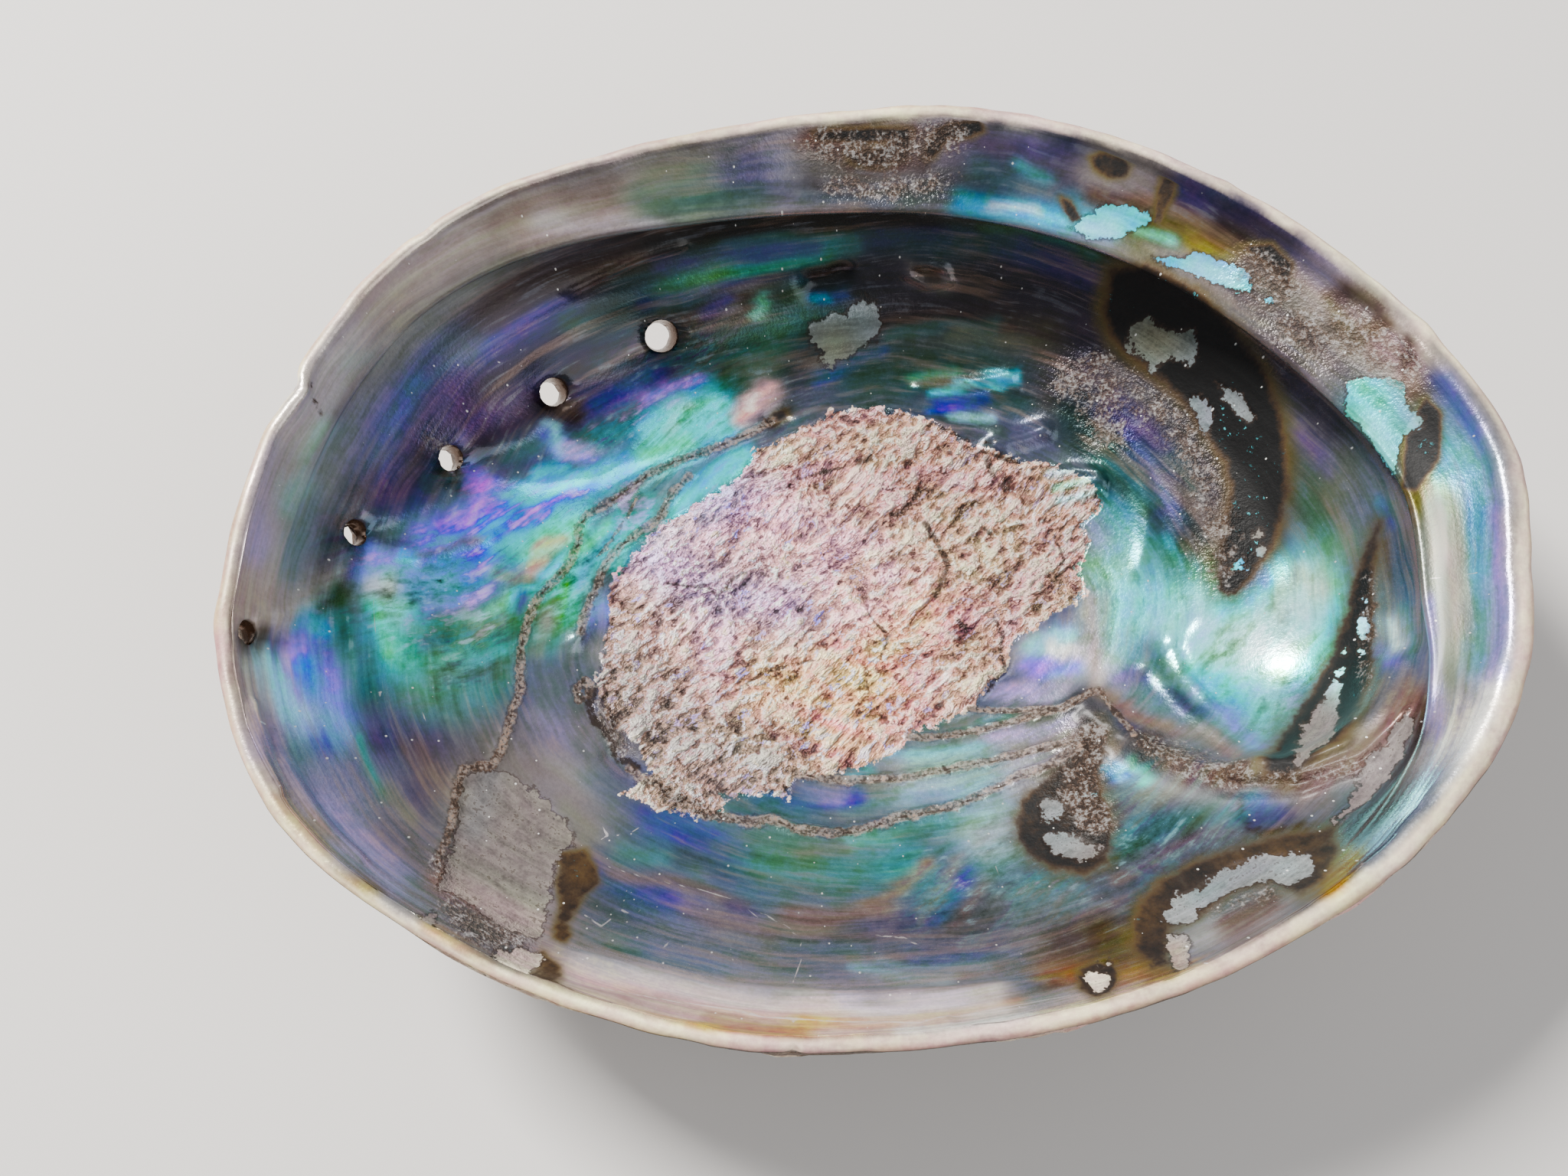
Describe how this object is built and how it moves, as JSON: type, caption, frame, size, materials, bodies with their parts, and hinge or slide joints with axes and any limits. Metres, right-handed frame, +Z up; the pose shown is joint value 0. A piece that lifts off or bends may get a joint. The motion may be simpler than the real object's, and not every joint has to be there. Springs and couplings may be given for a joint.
{
  "type": "paua shell",
  "caption": "Paua abalone shell lying on its back: an oval bowl with a pearly blue-green hollow, a turned-in ledge, a pale rim and a row of pores.",
  "frame": {"origin": "bottom centre of the shell's box, level with the worn flat that it rests on", "axes": "+X along the shell towards the spire end, +Y towards the side with the pores and the widest ledge, +Z up out of the hollow"},
  "size_m": [0.1576, 0.1219, 0.0428],
  "materials": {
    "nacre": "pearly nacre in blue, green and silver with brown stains, cream at the rim; the back is matt, rough and grey-brown"
  },
  "bodies": {
    "root": {"shell": "nacre"}
  },
  "joints": []
}
